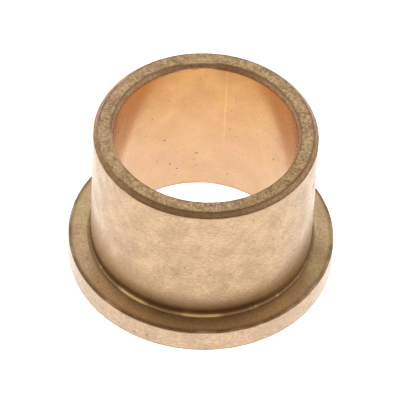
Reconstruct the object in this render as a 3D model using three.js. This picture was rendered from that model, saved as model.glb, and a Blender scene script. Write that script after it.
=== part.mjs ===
// Flanged bronze sleeve bushing: a plain bearing turned in one piece from a bronze casting.
// Millimetres, +Z up. The origin is the centre of the flange's underside, and +Z runs
// along the bore, away from the flange and towards the sleeve's free end.

import * as THREE from 'three';

// Driving dimensions
const BORE_DIAMETER = 45;        // running surface for the pin
const SLEEVE_DIAMETER = 55;      // outside of the sleeve, pressed into a housing
const FLANGE_DIAMETER = 66;
const FLANGE_THICKNESS = 6.8;
const OVERALL_LENGTH = 43.5;     // flange underside to the sleeve's end face

// Edges and corners
const END_CHAMFER = 1.15;        // 45 degrees, outside edge of the sleeve's free end
const LEAD_IN_WIDTH = 0.65;      // radial width of the bore's lead-in at the free end
const LEAD_IN_DEPTH = 1.5;       // axial depth of the same lead-in
const RIM_BREAK = 0.3;           // 45 degrees, both outer edges of the flange
const BORE_BREAK = 0.2;          // 45 degrees, the bore's edge at the underside
const ROOT_FILLET_RADIUS = 0.6;  // where the sleeve grows out of the flange

// Fineness of the round shapes
const SEGMENTS_AROUND = 144;
const FILLET_STEPS = 6;

const BRONZE = new THREE.MeshStandardMaterial({
  name: 'bronze',
  color: 0xb9915c,
  roughness: 0.38,
  metalness: 1.0,
});

// The concave quarter circle in the corner between the flange's face and the sleeve,
// from its foot on the face to its top on the sleeve.
function rootFillet(sleeveRadius) {
  const centreRadius = sleeveRadius + ROOT_FILLET_RADIUS;
  const centreHeight = FLANGE_THICKNESS + ROOT_FILLET_RADIUS;
  const fromBelow = 1.5 * Math.PI;
  const toInside = Math.PI;
  const arc = new THREE.EllipseCurve(
    centreRadius, centreHeight, ROOT_FILLET_RADIUS, ROOT_FILLET_RADIUS, fromBelow, toInside, true,
  );
  return arc.getPoints(FILLET_STEPS);
}

// Half of the bushing's section, as (radius, height) points. It starts at the foot of the
// bore, goes out along the underside, round the flange, up the sleeve and over its end
// face, and comes back down the bore to its first point.
function sectionOutline() {
  const bore = BORE_DIAMETER / 2;
  const sleeve = SLEEVE_DIAMETER / 2;
  const flange = FLANGE_DIAMETER / 2;
  const point = (radius, height) => new THREE.Vector2(radius, height);

  const boreFoot = point(bore, BORE_BREAK);
  const underside = [
    point(bore + BORE_BREAK, 0),
    point(flange - RIM_BREAK, 0),
  ];
  const rim = [
    point(flange, RIM_BREAK),
    point(flange, FLANGE_THICKNESS - RIM_BREAK),
    point(flange - RIM_BREAK, FLANGE_THICKNESS),
  ];
  const freeEnd = [
    point(sleeve, OVERALL_LENGTH - END_CHAMFER),
    point(sleeve - END_CHAMFER, OVERALL_LENGTH),
    point(bore + LEAD_IN_WIDTH, OVERALL_LENGTH),
    point(bore, OVERALL_LENGTH - LEAD_IN_DEPTH),
  ];
  return [boreFoot, ...underside, ...rim, ...rootFillet(sleeve), ...freeEnd, boreFoot.clone()];
}

// LatheGeometry turns its profile about Y, so the turned body is stood up onto +Z.
function bushingBody() {
  const geometry = new THREE.LatheGeometry(sectionOutline(), SEGMENTS_AROUND);
  const mesh = new THREE.Mesh(geometry, BRONZE);
  mesh.name = 'flanged_sleeve_bushing';
  mesh.rotation.x = Math.PI / 2;
  return mesh;
}

const bushing = new THREE.Group();
bushing.add(bushingBody());

export default bushing;
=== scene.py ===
"""A flanged bronze sleeve bushing on a pale studio floor.

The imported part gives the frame. This script replaces its faceted solid by a fine turned body with
rounded edges, nicks and a slightly uneven skin, and gives every machined face its own bronze.
Lengths are metres, +Z is up, and the bore runs along Z."""

import math

import bpy
import numpy as np
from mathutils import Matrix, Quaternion, Vector, noise


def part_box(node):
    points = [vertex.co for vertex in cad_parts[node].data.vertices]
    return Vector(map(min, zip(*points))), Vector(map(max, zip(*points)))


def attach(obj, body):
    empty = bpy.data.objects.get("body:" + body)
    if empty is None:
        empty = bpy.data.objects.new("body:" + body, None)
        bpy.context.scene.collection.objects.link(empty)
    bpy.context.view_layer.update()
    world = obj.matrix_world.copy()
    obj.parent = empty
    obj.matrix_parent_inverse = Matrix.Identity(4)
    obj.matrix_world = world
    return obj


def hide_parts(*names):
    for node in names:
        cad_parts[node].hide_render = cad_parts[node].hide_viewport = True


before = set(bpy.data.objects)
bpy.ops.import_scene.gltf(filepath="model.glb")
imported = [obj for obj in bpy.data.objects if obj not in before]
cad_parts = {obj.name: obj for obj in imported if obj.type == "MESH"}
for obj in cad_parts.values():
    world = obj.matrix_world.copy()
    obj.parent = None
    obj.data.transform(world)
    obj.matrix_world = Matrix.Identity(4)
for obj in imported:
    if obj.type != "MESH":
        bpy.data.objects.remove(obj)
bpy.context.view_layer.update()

NODE = "flanged_sleeve_bushing"
BODY = "root"
MM = 0.001

# ---------------------------------------------------------------------------
# Sizes: the flange and the length come from the frame, the rest repeat the design
# ---------------------------------------------------------------------------
low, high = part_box(NODE)
FLANGE = (high.x - low.x) / 2
LENGTH = high.z - low.z
BORE = 22.5 * MM
SLEEVE = 27.5 * MM
FLANGE_TOP = 6.8 * MM
END_CHAMFER = 1.15 * MM
LEAD_IN_WIDTH = 0.65 * MM
LEAD_IN_DEPTH = 1.5 * MM
RIM_BREAK = 0.3 * MM
BORE_BREAK = 0.2 * MM
ROOT_FILLET = 0.6 * MM

# How far wear, dirt and painted shade reach
EDGE_REACH = 0.25 * MM           # oil and rubbing, from a sharp edge
MARGIN_REACH = 1.6 * MM          # gathered specks, from a sharp edge
CORNER_REACH = 0.75 * MM         # gold and painted shade, from the corner between sleeve and flange
FOOT_SHADE_HEIGHT = 1.6 * MM          # middle of the band of painted shade, above the flange
FOOT_SHADE_SPREAD = 1.0 * MM          # how far the band reaches up and down
FOOT_SHADE_TOP = 4.2 * MM             # end of the thinner painted shade, above the flange

# Painted shade fills most of the corner between sleeve and flange. These stretches of it are left
# unshaded, so that the corner's highlight shows there, each from one angle to another in degrees,
# anticlockwise from +X seen from above.
UNSHADED_STRETCHES = ((18, 47), (96, 131), (224, 244), (261, 284))
STRETCH_FADE = 4                 # degrees over which a stretch begins and ends

# The uneven skin, as depths below the ideal surface
SKIN = 0.01 * MM                 # on average, away from the edges
LONG_WAVE, SHORT_WAVE = 0.005 * MM, 0.0025 * MM
KNOCK, CHIP = 0.14 * MM, 0.06 * MM

# How fine the turned body is
AROUND = 640
ROW_STEP = 0.36 * MM
ARC_STEPS = 5

# ---------------------------------------------------------------------------
# The section: named stretches of the outline, each with a rounded corner at its start
# ---------------------------------------------------------------------------
FACES = ("underside", "rim", "flange_face", "sleeve", "chamfer", "end_face", "lead_in", "bore")
CORNER_ROUND = 0.07 * MM


def outline():
    """The corners of half the section, from the bore's foot outwards and round, each as (radius,
    height, rounding, face that starts there). The break of the flange's upper edge counts as chamfer,
    so it gets the same darker bronze, as painted shade for the dark surroundings that this edge
    reflects."""
    mouth = BORE + LEAD_IN_WIDTH
    return [
        (BORE, BORE_BREAK, CORNER_ROUND, "underside"),
        (BORE + BORE_BREAK, 0.0, CORNER_ROUND, "underside"),
        (FLANGE - RIM_BREAK, 0.0, CORNER_ROUND, "rim"),
        (FLANGE, RIM_BREAK, CORNER_ROUND, "rim"),
        # the flange's upper break, in the darker chamfer bronze as painted shade
        (FLANGE, FLANGE_TOP - RIM_BREAK, CORNER_ROUND, "chamfer"),
        (FLANGE - RIM_BREAK, FLANGE_TOP, CORNER_ROUND, "flange_face"),
        (SLEEVE, FLANGE_TOP, ROOT_FILLET, "sleeve"),
        (SLEEVE, LENGTH - END_CHAMFER, CORNER_ROUND, "chamfer"),
        (SLEEVE - END_CHAMFER, LENGTH, CORNER_ROUND, "end_face"),
        (mouth, LENGTH, CORNER_ROUND, "lead_in"),
        (BORE, LENGTH - LEAD_IN_DEPTH, CORNER_ROUND, "bore"),
    ]


def corner_arc(before, corner, after, rounding):
    """Points of the round that replaces a corner, tangent to both of its sides."""
    longest_step = 0.15 * MM
    to_before = (before - corner).normalized()
    to_after = (after - corner).normalized()
    half = to_before.angle(to_after) / 2
    inset = rounding / math.tan(half)
    centre = corner + (to_before + to_after).normalized() * (rounding / math.sin(half))
    start = corner + to_before * inset - centre
    end = corner + to_after * inset - centre
    sweep = start.angle_signed(end)
    steps = ARC_STEPS + round(abs(sweep) * rounding / longest_step)
    arc = []
    for i in range(steps + 1):
        turn = -sweep * i / steps
        cos, sin = math.cos(turn), math.sin(turn)
        arc.append(centre + Vector((start.x * cos - start.y * sin, start.x * sin + start.y * cos)))
    return arc


def fade(distance, reach, power=2):
    """1 at no distance and about a third at reach; a higher power makes the fall steeper."""
    return np.exp(-((distance / reach) ** power))


def section():
    """The closed outline as rows (radius, height), each row's face, and four numbers that are about 1
    at a place and fade to 0 around it: the sharp edges, their margins, the foot of the sleeve, where a
    band of painted shade lies just above the flange, and the corner below it."""
    corners = outline()
    count = len(corners)
    points = [Vector((c[0], c[1])) for c in corners]
    rows, faces, on_edge = [], [], []
    for i in range(count):
        corner, after = points[i], points[(i + 1) % count]
        rounding, face = corners[i][2], corners[i][3]
        arc = corner_arc(points[i - 1], corner, after, rounding)
        rows += arc
        faces += [face] * len(arc)
        on_edge += [rounding < ROOT_FILLET] * len(arc)
        next_arc = corner_arc(corner, after, points[(i + 2) % count], corners[(i + 1) % count][2])
        stretch = next_arc[0] - arc[-1]
        pieces = max(1, math.ceil(stretch.length / ROW_STEP))
        for k in range(1, pieces):
            rows.append(arc[-1] + stretch * k / pieces)
            faces.append(face)
            on_edge.append(False)
    edge_rows = np.array([[r.x, r.y] for r, e in zip(rows, on_edge) if e])
    rows = np.array([[r.x, r.y] for r in rows])
    gap = np.sqrt(((rows[:, None] - edge_rows[None]) ** 2).sum(-1)).min(1)
    height = rows[:, 1] - FLANGE_TOP
    foot = 0.6 * fade(height - FOOT_SHADE_HEIGHT, FOOT_SHADE_SPREAD) + 0.4 * fade(height, FOOT_SHADE_TOP, 4)
    foot[[face != "sleeve" for face in faces]] = 0
    from_corner = np.hypot(rows[:, 0] - SLEEVE, height)
    return rows, faces, {
        "edge": fade(gap, EDGE_REACH),
        "margin": fade(gap, MARGIN_REACH),
        "foot": foot,
        "corner": fade(from_corner, CORNER_REACH, 4),
    }


def shade_round_the_corner(angle):
    """How much painted shade the corner gets at each angle in radians: 0 on the unshaded stretches,
    else 1.
    """
    degrees = np.degrees(angle)
    unshaded = np.zeros_like(degrees)
    for start, end in UNSHADED_STRETCHES:
        inside = np.minimum(degrees - start, end - degrees)
        unshaded = np.maximum(unshaded, np.clip(inside / STRETCH_FADE, 0, 1))
    return 1 - unshaded


def outward(rows):
    """The outline's outward normal at each row."""
    along = np.roll(rows, -1, axis=0) - np.roll(rows, 1, axis=0)
    normal = np.stack([along[:, 1], -along[:, 0]], axis=1)
    return normal / np.linalg.norm(normal, axis=1)[:, None]


# ---------------------------------------------------------------------------
# The uneven skin: how far each vertex lies inside the ideal surface
# ---------------------------------------------------------------------------
def field(points, scale, offset):
    """Smooth noise, about -1 to 1, at points in metres, with `scale` waves per metre."""
    shift = Vector((offset, -offset, 2 * offset))
    return np.array([noise.noise(Vector(p) * scale + shift) for p in points])


def skin_depth(points, edge):
    """Shallow waves left by turning and handling, and nicks where the edges were knocked."""
    waves = LONG_WAVE * field(points, 160, 3.1) + SHORT_WAVE * field(points, 520, 7.7)
    knocks = np.clip(field(points, 420, 12.3) - 0.28, 0, 1)
    chips = np.clip(field(points, 1300, 21.9) - 0.15, 0, 1)
    return SKIN + waves + edge * (KNOCK * knocks + CHIP * chips)


def turned_body():
    """The section turned round Z: one mesh, with a material number for each machined face
    and the places that the materials ask for."""
    rows, faces, places = section()
    normal = outward(rows)
    angle = np.arange(AROUND) * (2 * math.pi / AROUND)
    cos, sin = np.cos(angle), np.sin(angle)

    def ring(radial, axial):
        return np.stack([radial[:, None] * cos, radial[:, None] * sin,
                         np.repeat(axial[:, None], AROUND, axis=1)], axis=-1).reshape(-1, 3)

    points = ring(rows[:, 0], rows[:, 1])
    normals = ring(normal[:, 0], normal[:, 1])
    depth = np.clip(skin_depth(points, np.repeat(places["edge"], AROUND)), 0, None)
    points -= normals * depth[:, None]

    count = len(rows)
    i = np.arange(count)[:, None]
    j = np.arange(AROUND)[None, :]
    i_next, j_next = (i + 1) % count, (j + 1) % AROUND
    quads = np.stack([i * AROUND + j, i * AROUND + j_next,
                      i_next * AROUND + j_next, i_next * AROUND + j], axis=-1).reshape(-1, 4)

    mesh = bpy.data.meshes.new("turned_bushing")
    mesh.from_pydata(points.tolist(), [], quads.tolist())
    mesh.polygons.foreach_set("use_smooth", [True] * len(quads))
    face_of_row = [FACES.index(f) for f in faces]
    mesh.polygons.foreach_set("material_index", np.repeat(face_of_row, AROUND).tolist())
    spread = {place: np.repeat(values, AROUND) for place, values in places.items()}
    spread["corner_shade"] = spread["corner"] * np.tile(shade_round_the_corner(angle), count)
    for place, values in spread.items():
        attribute = mesh.attributes.new(place, "FLOAT", "POINT")
        attribute.data.foreach_set("value", values.astype(np.float32))
    mesh.update()
    piece = bpy.data.objects.new("turned_bushing", mesh)
    bpy.context.scene.collection.objects.link(piece)
    return piece


# ---------------------------------------------------------------------------
# Bronze
# ---------------------------------------------------------------------------
class Nodes:
    """A small helper that adds nodes to one tree and links them."""

    def __init__(self, tree):
        self.tree = tree
        tree.nodes.clear()

    def add(self, kind, inputs=None, **settings):
        node = self.tree.nodes.new(kind)
        for key, value in settings.items():
            setattr(node, key, value)
        for key, value in (inputs or {}).items():
            self.put(node.inputs[key], value)
        return node

    def put(self, socket, value):
        if isinstance(value, bpy.types.NodeSocket):
            self.tree.links.new(value, socket)
        else:
            socket.default_value = value

    def math(self, operation, a, b):
        return self.add("ShaderNodeMath", {0: a, 1: b}, operation=operation).outputs[0]

    def vector(self, operation, a, b):
        node = self.add("ShaderNodeVectorMath", {0: a, 1: b}, operation=operation)
        return node.outputs["Vector"]

    def dot(self, a, b):
        node = self.add("ShaderNodeVectorMath", {0: a, 1: b}, operation="DOT_PRODUCT")
        return node.outputs["Value"]

    def attribute(self, name):
        return self.add("ShaderNodeAttribute", attribute_name=name).outputs["Fac"]

    def scaled(self, colour, factor):
        node = self.add("ShaderNodeVectorMath", {0: colour, "Scale": factor}, operation="SCALE")
        return node.outputs["Vector"]

    def centred(self, value, amount):
        """Noise about 0.5 turned into a swing about 0."""
        return self.math("MULTIPLY", self.math("SUBTRACT", value, 0.5), amount)

    def between(self, value, start, end):
        """0 at start, 1 at end, smooth in between."""
        node = self.add("ShaderNodeMapRange", interpolation_type="SMOOTHSTEP")
        self.put(node.inputs["Value"], value)
        self.put(node.inputs["From Min"], start)
        self.put(node.inputs["From Max"], end)
        return node.outputs["Result"]

    def mix(self, factor, a, b):
        node = self.add("ShaderNodeMix", data_type="RGBA")
        self.put(node.inputs["Factor"], factor)
        self.put(node.inputs["A"], a)
        self.put(node.inputs["B"], b)
        return node.outputs["Result"]

    def noise(self, vector, scale, detail=3.0, roughness=0.55):
        node = self.add("ShaderNodeTexNoise", {"Vector": vector, "Scale": scale,
                                               "Detail": detail, "Roughness": roughness})
        return node.outputs["Fac"]


def srgb(red, green, blue):
    """A linear colour from 0-255 sRGB numbers."""
    def linear(v):
        v /= 255
        return v / 12.92 if v <= 0.04045 else ((v + 0.055) / 1.055) ** 2.4
    return (linear(red), linear(green), linear(blue), 1.0)


DIRT = srgb(60, 40, 24)          # in pores and specks

# What each of these leaves of the metal's red, green and blue
STAIN = (0.5, 0.45, 0.4)
# tarnish on some faces, painted shade on the chamfer
TARNISH_AND_SHADE = (0.5, 0.42, 0.3)
# painted shade on the foot of the sleeve, for the dark flange that it reflects
FOOT_SHADE = (0.25, 0.19, 0.13)       # on the foot of the sleeve
CORNER_GOLD = (0.95, 0.88, 0.62)
# painted shade in the corner between sleeve and flange
CORNER_SHADE = (0.3, 0.24, 0.16)
OILY_EDGE = (0.4, 0.3, 0.2)
RUBBED_EDGE = (1.15, 1.15, 1.15)

# The fine bright line down the bore: where it is round the axis, and the direction across it
LINE_ANGLE = math.radians(78.5)
ACROSS_LINE = (math.sin(LINE_ANGLE), -math.cos(LINE_ANGLE), 0)


def toned(colour, *factors):
    """A colour with its red, green and blue multiplied by factors."""
    return tuple(c * f for c, f in zip(colour, factors)) + (1.0,)


def turning_marks(nodes, mm, across):
    """Noise that is very long along the cut and very short across it."""
    along = nodes.vector("MULTIPLY", mm, (0.03, 0.03, 0))
    rings = nodes.add("ShaderNodeCombineXYZ", {"Z": nodes.math("MULTIPLY", across, 5.0)})
    return nodes.noise(nodes.vector("ADD", along, rings.outputs["Vector"]), 1.0, detail=2.0)


def dull_border(nodes, base, radius, fine, start):
    """The metal darker beyond a radius of start mm, and darker again along the rim."""
    uneven_radius = nodes.math("ADD", radius, nodes.centred(fine, 2.0))
    border = nodes.between(uneven_radius, start - 0.3, start + 0.3)
    line = nodes.between(uneven_radius, start + 0.35, start + 0.7)
    dullness = nodes.math("ADD", nodes.math("MULTIPLY", border, 0.22),
                          nodes.math("MULTIPLY", line, 0.4))
    return nodes.scaled(base, nodes.math("SUBTRACT", 1.0, dullness))


def tarnished_and_shaded(nodes, base, mm, radius, angle, reach, strength):
    """The metal darker and browner at an angle in degrees round the axis, which fades out over reach
    degrees to each side: tarnish on some faces, painted shade on the chamfer."""
    middle = math.radians(angle)
    facing = nodes.dot(mm, (math.cos(middle), math.sin(middle), 0))
    dark = nodes.between(nodes.math("DIVIDE", facing, radius), math.cos(math.radians(reach)), 1.0)
    browned = nodes.vector("MULTIPLY", base, TARNISH_AND_SHADE)
    return nodes.mix(nodes.math("MULTIPLY", dark, strength), base, browned)


def foot_and_corner_shade(nodes, base, tone, mm, xyz, cloud):
    """Painted shade round the foot of the sleeve, for the dark flange that the foot reflects, thinner
    on the +X side, and below it a corner of golden metal that is under painted shade for most of its
    length."""
    # painted shade on the foot, for the dark flange that it reflects
    foot_shade = nodes.math("MULTIPLY", nodes.attribute("foot"), nodes.between(cloud, 0.0, 0.4))
    foot_shade = nodes.math("MULTIPLY", foot_shade, nodes.between(xyz.outputs["X"], 34, 12))
    base = nodes.mix(foot_shade, base, toned(tone, *FOOT_SHADE))
    golden = nodes.math("MULTIPLY", nodes.attribute("corner"), 0.9)
    base = nodes.mix(golden, base, toned(tone, *CORNER_GOLD))
    # painted shade in the corner, in patches, left off on the unshaded stretches
    shade_patches = nodes.between(nodes.noise(mm, 0.5), 0.2, 0.45)
    shaded_corner = nodes.math("MULTIPLY", nodes.attribute("corner_shade"), shade_patches)
    return nodes.mix(nodes.math("MULTIPLY", shaded_corner, 0.9), base, toned(tone, *CORNER_SHADE))


def bright_line(nodes, base, mm, xyz):
    """A fine bright line down the back of the bore, which fades out towards its foot."""
    offset = nodes.math("ABSOLUTE", nodes.dot(mm, ACROSS_LINE), 0.0)
    above_foot = nodes.between(xyz.outputs["Z"], 12, 26)
    line = nodes.math("MULTIPLY", nodes.between(offset, 0.45, 0.1), above_foot)
    line = nodes.math("MULTIPLY", line, nodes.math("GREATER_THAN", xyz.outputs["Y"], 0.0))
    return nodes.scaled(base, nodes.math("ADD", 1.0, nodes.math("MULTIPLY", line, 0.12)))


def dirt_spots(nodes, mm, cloud, specks, pores):
    """Specks of dirt, in loose clusters and along the edges, and pores. A pore is a small
    ball round a point scattered through space, and shows where the surface cuts it."""
    speck = nodes.between(nodes.noise(mm, 1.9, detail=1.0), 0.63, 0.7)
    cluster = nodes.between(nodes.noise(mm, 0.16, detail=2.0), 0.45, 0.65)
    at_edges = nodes.math("MULTIPLY", nodes.attribute("margin"), nodes.between(cloud, 0.35, 0.6))
    cluster = nodes.math("MAXIMUM", cluster, at_edges)
    speck = nodes.math("MULTIPLY", nodes.math("MULTIPLY", speck, cluster), specks)

    uneven = nodes.add("ShaderNodeTexNoise", {"Vector": mm, "Scale": 2.0}).outputs["Color"]
    warped = nodes.vector("ADD", mm, uneven)
    spot = nodes.add("ShaderNodeTexVoronoi", {"Vector": warped, "Scale": 0.62})
    chosen = nodes.add("ShaderNodeSeparateColor", {"Color": spot.outputs["Color"]})
    largest = 0.26               # a pore's radius, where the points are about 1 apart
    size = nodes.math("MULTIPLY", nodes.between(chosen.outputs["Red"], 1.0 - pores, 1.0), largest)
    pore = nodes.between(spot.outputs["Distance"], size, nodes.math("MULTIPLY", size, 0.4))
    pore = nodes.math("MULTIPLY", pore, nodes.math("GREATER_THAN", size, 0.02))
    return nodes.math("MAXIMUM", nodes.math("MULTIPLY", pore, 0.6), speck)


def worn_edges(nodes, base, tone, mm):
    """Edges dark with oil along some stretches and rubbed bright along others."""
    oily = nodes.between(nodes.noise(mm, 0.07, detail=3.0), 0.64, 0.5)
    edge_metal = nodes.mix(oily, toned(tone, *RUBBED_EDGE), toned(tone, *OILY_EDGE))
    return nodes.mix(nodes.math("MULTIPLY", nodes.attribute("edge"), 0.8), base, edge_metal)


def bronze(name, tone, shaded_tone_at_top=None, flat_face=False, roughness=0.28, marks=1.0,
           patch_mm=6.0, patches=0.08, grain=0.1, hues=1.0, stain=0.1, specks=0.4, pores=0.12,
           dull_outside=None, oil_film=0.0, bare=1.0, tarnish_and_shade=None, axial_line=False):
    """Bronze with turning marks, mottling, stains and casting pores.

    tone is the clean metal, and shaded_tone_at_top, if any, the tone near the free end, darker there as
    painted shade. The tool's marks are rings on a flat face, and hoops one above the other on a
    cylinder. patches, of size patch_mm, and the finer grain say how much lighter or darker the metal
    gets. hues says how far its colour swings from pink to gold, and in how small patches. marks, stain,
    specks and oil_film are strengths, pores is the share of the scattered points that are pores, and
    bare is how much of the face is bare metal, the rest being under oxide. dull_outside is the radius
    in mm beyond which a face is dull. tarnish_and_shade is where round the axis a face is darker,
    tarnish on some faces and painted shade on the chamfer: the angle in degrees, how many degrees it
    reaches to each side, and its strength in the middle. axial_line adds a bright line down the bore."""
    material = bpy.data.materials.new(name)
    material.use_nodes = True
    nodes = Nodes(material.node_tree)
    out = nodes.add("ShaderNodeOutputMaterial")
    shader = nodes.add("ShaderNodeBsdfPrincipled", {"Coat Weight": oil_film, "Coat Roughness": 0.25})
    nodes.put(out.inputs["Surface"], shader.outputs["BSDF"])

    place = nodes.add("ShaderNodeTexCoord").outputs["Object"]
    mm = nodes.vector("MULTIPLY", place, (1 / MM, 1 / MM, 1 / MM))
    xyz = nodes.add("ShaderNodeSeparateXYZ", {0: mm})
    flat = nodes.vector("MULTIPLY", mm, (1, 1, 0))
    radius = nodes.add("ShaderNodeVectorMath", {0: flat}, operation="LENGTH").outputs["Value"]
    cut = turning_marks(nodes, mm, radius if flat_face else xyz.outputs["Z"])

    # mottling in patches, and a grain that runs along the cut on a cylinder
    cloud = nodes.noise(mm, 1 / patch_mm, detail=4.0, roughness=0.6)
    hue = nodes.noise(mm, 0.23 * hues, detail=4.0, roughness=0.7)
    along_cut = mm if flat_face else nodes.vector("MULTIPLY", mm, (0.6, 0.6, 1.5))
    fine = nodes.noise(along_cut, 1.6, detail=3.0, roughness=0.75)

    def metal(colour):
        pink = toned(colour, 1 + 0.02 * hues, 1 - 0.02 * hues, 1 + 0.03 * hues)
        gold = toned(colour, 1 - 0.01 * hues, 1 + 0.01 * hues, 1 - 0.07 * hues)
        return nodes.mix(nodes.between(hue, 0.25, 0.75), pink, gold)

    base = metal(tone)
    # a darker tone towards the free end, as painted shade
    if shaded_tone_at_top:
        height = nodes.math("DIVIDE", xyz.outputs["Z"], LENGTH / MM)
        base = nodes.mix(nodes.between(height, 0.1, 1.0), base, metal(shaded_tone_at_top))
    lighter = nodes.math("ADD", nodes.centred(cloud, 4 * patches), nodes.centred(fine, 4 * grain))
    base = nodes.scaled(base, nodes.math("ADD", 1.0, lighter))

    blotches = nodes.math("ADD", nodes.math("MULTIPLY", cloud, 0.45),
                          nodes.math("MULTIPLY", fine, 0.55))
    stained = nodes.between(blotches, 0.6, 0.42)
    base = nodes.mix(nodes.math("MULTIPLY", stained, stain), base, toned(tone, *STAIN))
    if dull_outside:
        base = dull_border(nodes, base, radius, fine, dull_outside)
    if tarnish_and_shade:
        base = tarnished_and_shaded(nodes, base, mm, radius, *tarnish_and_shade)
    base = foot_and_corner_shade(nodes, base, tone, mm, xyz, cloud)
    if axial_line:
        base = bright_line(nodes, base, mm, xyz)
    spots = dirt_spots(nodes, mm, cloud, specks, pores)
    base = nodes.mix(spots, base, DIRT)
    base = worn_edges(nodes, base, tone, mm)
    nodes.put(shader.inputs["Base Color"], base)
    metallic = nodes.math("MULTIPLY", nodes.math("SUBTRACT", 1.0, spots), bare)
    nodes.put(shader.inputs["Metallic"], metallic)

    rough = nodes.math("ADD", roughness, nodes.centred(cloud, -2.5 * patches))
    rough = nodes.math("ADD", rough, nodes.math("MULTIPLY", stained, 0.4 * stain))
    rough = nodes.math("ADD", rough, nodes.math("MULTIPLY", spots, 0.3))
    nodes.put(shader.inputs["Roughness"], rough)

    relief = nodes.math("ADD", nodes.math("MULTIPLY", cut, marks), nodes.math("MULTIPLY", fine, 0.5))
    relief = nodes.math("SUBTRACT", relief, nodes.math("MULTIPLY", spots, 2.5))
    bump = nodes.add("ShaderNodeBump", {"Strength": 0.5, "Distance": 0.012 * MM, "Height": relief})
    nodes.put(shader.inputs["Normal"], bump.outputs["Normal"])
    return material


def bronze_faces():
    """One bronze for each machined face, by the names in FACES."""
    return {
        "underside": bronze("bronze_underside", srgb(172, 142, 106), flat_face=True, marks=1.6,
                            roughness=0.36, stain=0.3, pores=0.3, patch_mm=4),
        "rim": bronze("bronze_rim", srgb(184, 158, 131), marks=1.6, grain=0.32, hues=3.0,
                      oil_film=0.25),
        "flange_face": bronze("bronze_flange_face", srgb(190, 163, 128), flat_face=True,
                              marks=1.5, patch_mm=4, patches=0.12, grain=0.24, hues=2.2,
                              stain=0.2, specks=0.6, pores=0.3, dull_outside=31.8,
                              tarnish_and_shade=(339, 27, 0.45)),
        "sleeve": bronze("bronze_sleeve", srgb(187, 158, 125), roughness=0.33, patch_mm=5,
                         patches=0.1, grain=0.2, hues=1.4, stain=0.16, specks=0.45,
                         oil_film=0.2),
        # On the chamfer, the darkening round 242 degrees, on the side facing the camera, is painted
        # shade for the dim surroundings that this side reflects.
        "chamfer": bronze("bronze_chamfer", srgb(147, 116, 86), stain=0.2, patch_mm=2.5,
                          grain=0.35, tarnish_and_shade=(242, 62, 0.42)),
        "end_face": bronze("bronze_end_face", srgb(175, 148, 114), flat_face=True,
                           roughness=0.4, patch_mm=2.2, patches=0.17, grain=0.58, hues=2.5,
                           stain=0.3, specks=0.7, pores=0.3, tarnish_and_shade=(315, 38, 0.3)),
        # Darker and browner round 88 degrees, at the back.
        "lead_in": bronze("bronze_lead_in", srgb(184, 147, 110), roughness=0.6, stain=0.4,
                          patch_mm=2, grain=0.25, bare=0.2, tarnish_and_shade=(88, 44, 1.0)),
        # The second tone, darker and more golden towards the mouth, is painted shade: up there the bore
        # reflects the shaded floor near the foot of its front wall.
        "bore": bronze("bronze_bore", srgb(202, 164, 128), srgb(200, 152, 99),
                       roughness=0.24, marks=0.6, patch_mm=7, patches=0.08, grain=0.04,
                       hues=1.6, stain=0.0, specks=0.15, pores=0.25, axial_line=True),
    }


piece = turned_body()
bronzes = bronze_faces()
for face in FACES:
    piece.data.materials.append(bronzes[face])
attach(piece, BODY)
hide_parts(NODE)


# ---------------------------------------------------------------------------
# Floor, light and camera
# ---------------------------------------------------------------------------
FLOOR_HALF_WIDTH = 3.0
FLOOR_GLOW = 1.35                # bright enough to come out pure white

# The tent's brightness low down, and how much less it is higher up
TENT_LOW, TENT_LOSS = 1.6, 0.65

# Brighter parts of the tent: the direction to each, the cosines of the angle from it at
# which it begins and is full, and how much it adds
TENT_BACK = ((0, 0.67, 0.74), 0.8, 0.95, 0.3)
TENT_LEFT = ((-0.66, 0.13, 0.74), 0.85, 0.97, 0.8)
TENT_RIGHT = ((0.82, 0, 0.58), 0.85, 0.97, 0.5)
TENT_TOP = ((0, 0, 1), 0.85, 0.95, 1.0)


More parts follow.
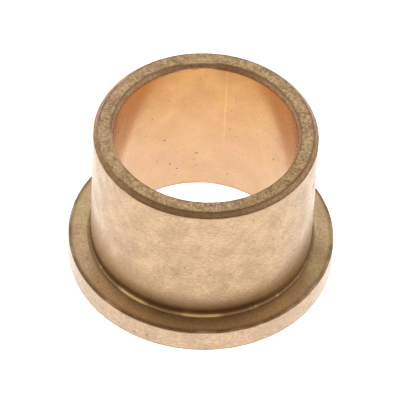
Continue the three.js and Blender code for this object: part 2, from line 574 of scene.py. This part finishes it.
def pale_floor():
    """A wide white floor that glows, as a floor lit from all round does."""
    material = bpy.data.materials.new("pale_floor")
    material.use_nodes = True
    shader = material.node_tree.nodes["Principled BSDF"]
    shader.inputs["Base Color"].default_value = (0.2, 0.2, 0.2, 1)
    shader.inputs["Roughness"].default_value = 0.9
    shader.inputs["Specular IOR Level"].default_value = 0.1
    shader.inputs["Emission Color"].default_value = (1, 1, 1, 1)
    shader.inputs["Emission Strength"].default_value = FLOOR_GLOW
    half = FLOOR_HALF_WIDTH
    mesh = bpy.data.meshes.new("studio_floor")
    mesh.from_pydata([(-half, -half, 0), (half, -half, 0), (half, half, 0), (-half, half, 0)],
                     [], [(0, 1, 2, 3)])
    mesh.materials.append(material)
    floor = bpy.data.objects.new("studio_floor", mesh)
    bpy.context.scene.collection.objects.link(floor)


def studio_dome():
    """A white tent, brightest overhead, at the left and near the floor."""
    world = bpy.data.worlds.new("studio")
    bpy.context.scene.world = world
    world.use_nodes = True
    nodes = Nodes(world.node_tree)
    out = nodes.add("ShaderNodeOutputWorld")
    light = nodes.add("ShaderNodeBackground")
    nodes.put(out.inputs["Surface"], light.outputs["Background"])
    way = nodes.add("ShaderNodeTexCoord").outputs["Generated"]
    up = nodes.add("ShaderNodeSeparateXYZ", {0: way}).outputs["Z"]

    level = nodes.math("ADD", TENT_LOW, nodes.math("MULTIPLY", nodes.between(up, 0.2, 0.6), -TENT_LOSS))
    for direction, begins, full, extra in (TENT_BACK, TENT_LEFT, TENT_RIGHT, TENT_TOP):
        nearness = nodes.between(nodes.dot(way, tuple(Vector(direction).normalized())), begins, full)
        level = nodes.math("ADD", level, nodes.math("MULTIPLY", nearness, extra))
    nodes.put(light.inputs["Strength"], level)


def camera():
    """A long lens from the front, looking down on the bushing, a little off level."""
    aim = Vector((-0.67, 0, 18.58)) * MM
    distance = 1.2153
    elevation = math.radians(47.93)
    swing = math.radians(-0.05)
    roll = math.radians(2.92)
    data = bpy.data.cameras.new("camera")
    data.lens = 443.2
    data.sensor_width = 36
    data.clip_start, data.clip_end = 0.05, 20
    eye = bpy.data.objects.new("camera", data)
    bpy.context.scene.collection.objects.link(eye)
    look = Vector((math.sin(swing) * math.cos(elevation),
                   math.cos(swing) * math.cos(elevation),
                   -math.sin(elevation)))
    eye.location = aim - look * distance
    eye.rotation_mode = "QUATERNION"
    eye.rotation_quaternion = look.to_track_quat("-Z", "Y") @ Quaternion((0, 0, 1), roll)
    bpy.context.scene.camera = eye


pale_floor()
studio_dome()
camera()
bpy.context.scene.view_settings.view_transform = "Standard"
